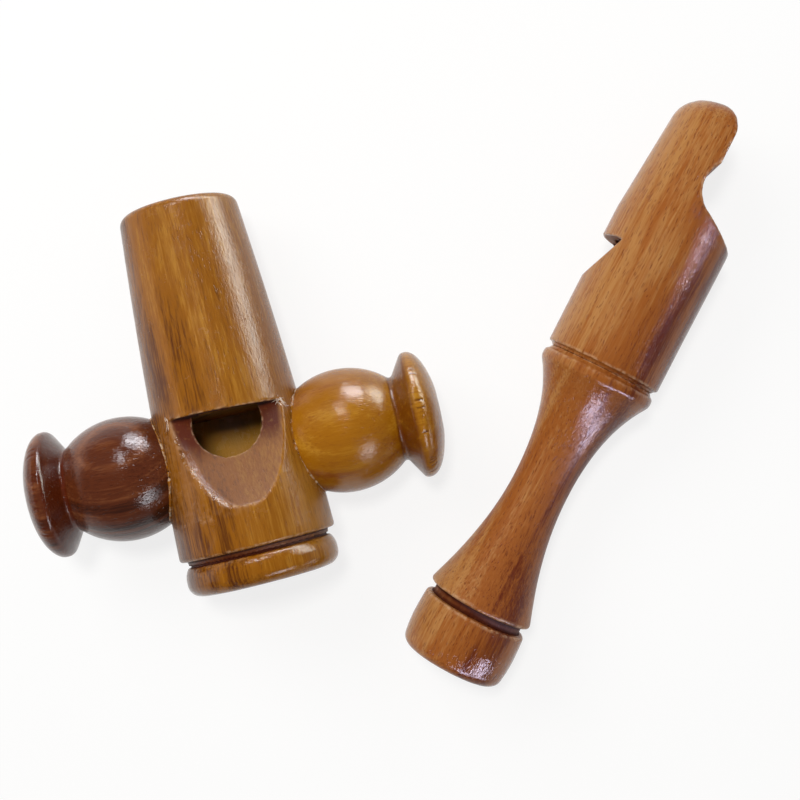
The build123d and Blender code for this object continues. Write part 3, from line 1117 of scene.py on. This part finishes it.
CEILING_GREY = (0.1, 0.1, 0.11, 1.0)  # what the varnish mirrors above the horizon
FLOOR_HALF = 0.22
SHADOW_SPAN = (0.13, 0.2)  # the floor's shadow fades out between these distances
SHADOW_SHARE = 0.2
CAMERA_PLACE = Vector((22.20, 1.31, 304.76)) * MM
CAMERA_AIM = Vector((4.85, -0.65, 14.0)) * MM
CAMERA_ROLL = 0.0045


def floor_mesh(half):
    """Square floor just under the calls."""
    mesh = bpy.data.meshes.new("table")
    low = -0.02 * MM
    corners = [(-half, -half, low), (half, -half, low), (half, half, low), (-half, half, low)]
    mesh.from_pydata(corners, [], [(0, 1, 2, 3)])
    return mesh


def seen_ray(tree):
    """1 for what the camera, a mirror or a glass sees, 0 for light that lands on the calls."""
    path = put(tree, "LightPath").outputs
    seen = calc(tree, "MAXIMUM", path["Is Camera Ray"], path["Is Glossy Ray"])
    return calc(tree, "MAXIMUM", seen, path["Is Transmission Ray"])


def floor_material(background):
    """Pale floor that shows as the background and keeps a soft shadow."""
    material = bpy.data.materials.new("table_white")
    material.use_nodes = True
    tree = material.node_tree
    tree.nodes.clear()
    plain = put(tree, "BsdfDiffuse", {"Color": background})
    glow = put(tree, "Emission", {"Color": background, "Strength": 1.0})
    direct = put(tree, "LightPath").outputs["Is Camera Ray"]
    away = distance(tree, put(tree, "TexCoord").outputs["Object"])
    near, far = SHADOW_SPAN
    shadowed = calc(tree, "MULTIPLY", between(tree, away, far, near), SHADOW_SHARE)
    kept = calc(tree, "MULTIPLY_ADD", direct, calc(tree, "SUBTRACT", 0.5, shadowed), 0.5)
    share = calc(tree, "MULTIPLY", seen_ray(tree), kept)
    mixed = put(tree, "MixShader", {0: share, 1: plain.outputs[0], 2: glow.outputs[0]})
    output = put(tree, "OutputMaterial")
    tree.links.new(mixed.outputs[0], output.inputs["Surface"])
    return material


def hung(lamp):
    """Object of a lamp that faces the calls."""
    azimuth, elevation = math.radians(lamp.azimuth), math.radians(lamp.elevation)
    flat = math.cos(elevation)
    way = Vector((flat * math.cos(azimuth), flat * math.sin(azimuth), math.sin(elevation)))
    light = bpy.data.lights.new(lamp.name, "AREA")
    light.shape = "RECTANGLE"
    sides = [2 * LAMP_DISTANCE * math.tan(math.radians(angle / 2)) for angle in lamp.spread]
    light.size, light.size_y = sides
    light.energy = lamp.radiance * math.pi * light.size * light.size_y
    light.color = lamp.tint
    holder = bpy.data.objects.new(lamp.name, light)
    holder.location = way * LAMP_DISTANCE + LAMP_AIM
    holder.rotation_euler = (-way).to_track_quat("-Z", "Y").to_euler()
    bpy.context.scene.collection.objects.link(holder)
    return holder


class CALLS_OT_stage(bpy.types.Operator):
    """Set the floor, the light and the camera"""

    bl_idname = "calls.stage"
    bl_label = "Stage"

    def execute(self, context):
        chosen = settings("call_stage")
        background = opaque(chosen.background)
        floor = linked("table", floor_mesh(FLOOR_HALF))
        floor.data.materials.append(floor_material(background))
        self.room(background)
        self.lights()
        self.camera(chosen.lens)
        return {"FINISHED"}

    def room(self, background):
        """Pale surroundings, which the varnish mirrors as a dim ceiling over a pale horizon."""
        world = bpy.data.worlds.new("pale_room")
        bpy.context.scene.world = world
        world.use_nodes = True
        tree = world.node_tree
        tree.nodes.clear()
        way = put(tree, "TexCoord").outputs["Generated"]
        height = put(tree, "SeparateXYZ", {"Vector": way}).outputs["Z"]
        slope = calc(tree, "ABSOLUTE", height)
        mirrored = blend(tree, between(tree, slope, 0.0, 0.1), background, CEILING_GREY)
        path = put(tree, "LightPath").outputs
        seen = blend(tree, path["Is Camera Ray"], mirrored, background)
        light = blend(tree, seen_ray(tree), ROOM_GREY, seen)
        glow = put(tree, "Background", {"Color": light, "Strength": 1.0})
        output = put(tree, "OutputWorld")
        tree.links.new(glow.outputs[0], output.inputs["Surface"])

    def lights(self):
        """Soft light from above, and bright panes that show only as reflections."""
        for lamp in ROOM_LAMPS:
            hung(lamp).visible_glossy = False
        arm_call = ("arm_call", "left_", "right_", "window_")
        self.reflections("arm_call_reflections", arm_call, ARM_CALL_PANES)
        self.reflections("barrel_reflections", ("slide_call",), BARREL_PANES)
        self.reflections("grip_reflections", ("slide_grip", "stopper_"), GRIP_PANES)

    def reflections(self, name, prefixes, lamps):
        """Lets lamps show as reflections in some pieces only, found by how their names begin."""
        group = bpy.data.collections.new(name)
        for piece in [piece for piece in bpy.data.objects if piece.name.startswith(prefixes)]:
            group.objects.link(piece)
        for lamp in lamps:
            pane = hung(lamp)
            pane.visible_diffuse = False
            pane.light_linking.receiver_collection = group

    def camera(self, lens):
        """Camera above the table."""
        look = (CAMERA_AIM - CAMERA_PLACE).normalized()
        right = look.cross(Vector((math.sin(CAMERA_ROLL), math.cos(CAMERA_ROLL), 0))).normalized()
        turn = Matrix((right, right.cross(look), -look)).transposed().to_4x4()
        lens_body = bpy.data.cameras.new("camera")
        lens_body.lens = lens
        lens_body.sensor_width = 36
        lens_body.clip_start = 0.01
        camera = bpy.data.objects.new("camera", lens_body)
        camera.matrix_world = Matrix.Translation(CAMERA_PLACE) @ turn
        bpy.context.scene.collection.objects.link(camera)
        bpy.context.scene.camera = camera
        bpy.context.scene.view_settings.view_transform = "Standard"


class CALLS_PT_looks(bpy.types.Panel):
    """Lists the pieces of the bird calls"""

    bl_idname = "CALLS_PT_looks"
    bl_label = "Bird calls"
    bl_space_type = "VIEW_3D"
    bl_region_type = "UI"
    bl_category = "Bird calls"

    def draw(self, context):
        for step in STEPS:
            self.layout.operator(step.bl_idname)
        for group in SETTING_GROUPS:
            box = self.layout.box()
            for name in SETTING_GROUPS[group].__annotations__:
                box.prop(settings(group), name)


STEPS = [
    CALLS_OT_arm_body,
    CALLS_OT_arms,
    CALLS_OT_joint_glue,
    CALLS_OT_torn_fibres,
    CALLS_OT_slide_call,
    CALLS_OT_inner_pieces,
    CALLS_OT_stage,
]
SETTING_GROUPS = {"call_colours": WoodColours, "call_wear": WearSizes, "call_stage": StageSettings}


def register():
    for group, kind in SETTING_GROUPS.items():
        bpy.utils.register_class(kind)
        setattr(bpy.types.Scene, group, bpy.props.PointerProperty(type=kind))
    for step in [*STEPS, CALLS_PT_looks]:
        bpy.utils.register_class(step)


def unregister():
    for step in [CALLS_PT_looks, *reversed(STEPS)]:
        bpy.utils.unregister_class(step)
    for group, kind in SETTING_GROUPS.items():
        delattr(bpy.types.Scene, group)
        bpy.utils.unregister_class(kind)


def main():
    register()
    for step in STEPS:
        family, name = step.bl_idname.split(".")
        getattr(getattr(bpy.ops, family), name)()


if __name__ == "__main__":
    main()
